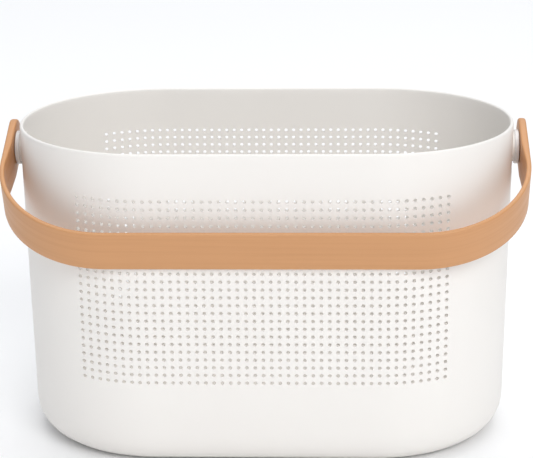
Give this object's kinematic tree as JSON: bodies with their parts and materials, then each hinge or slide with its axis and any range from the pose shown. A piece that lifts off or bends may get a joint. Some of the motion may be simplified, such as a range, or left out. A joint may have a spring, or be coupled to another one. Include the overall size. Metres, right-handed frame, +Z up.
{
  "type": "shower caddy",
  "caption": "Open-topped oblong carry basket with round ends, finely perforated front and back walls and a wide wood-look bail handle that swings from one side to the other.",
  "frame": {"origin": "centre of the basket's flat underside, on the surface it stands on", "axes": "+Z up; +X along the basket's length and along the handle's pivot axis; -Y towards the front, where the handle hangs at rest"},
  "size_m": [0.3044, 0.1728, 0.1885],
  "materials": {
    "basket_plastic": "fine satin moulding",
    "handle_plastic": "satin, caramel wood look with long faint streaks",
    "hub_plastic": "smooth moulding"
  },
  "bodies": {
    "basket": {"basket": "basket_plastic", "left_pivot_spacer": "hub_plastic", "right_pivot_spacer": "hub_plastic", "left_rivet_barrel": "hub_plastic", "right_rivet_barrel": "hub_plastic", "left_rivet_pin": "hub_plastic", "right_rivet_pin": "hub_plastic"},
    "handle": {"handle": "handle_plastic"}
  },
  "joints": [
    {"name": "handle_swing", "type": "hinge", "parent": "basket", "child": "handle", "pos_m": [0, 0, 0.1715], "axis": [-1, 0, 0], "range_deg": [0, 226.06]}
  ]
}
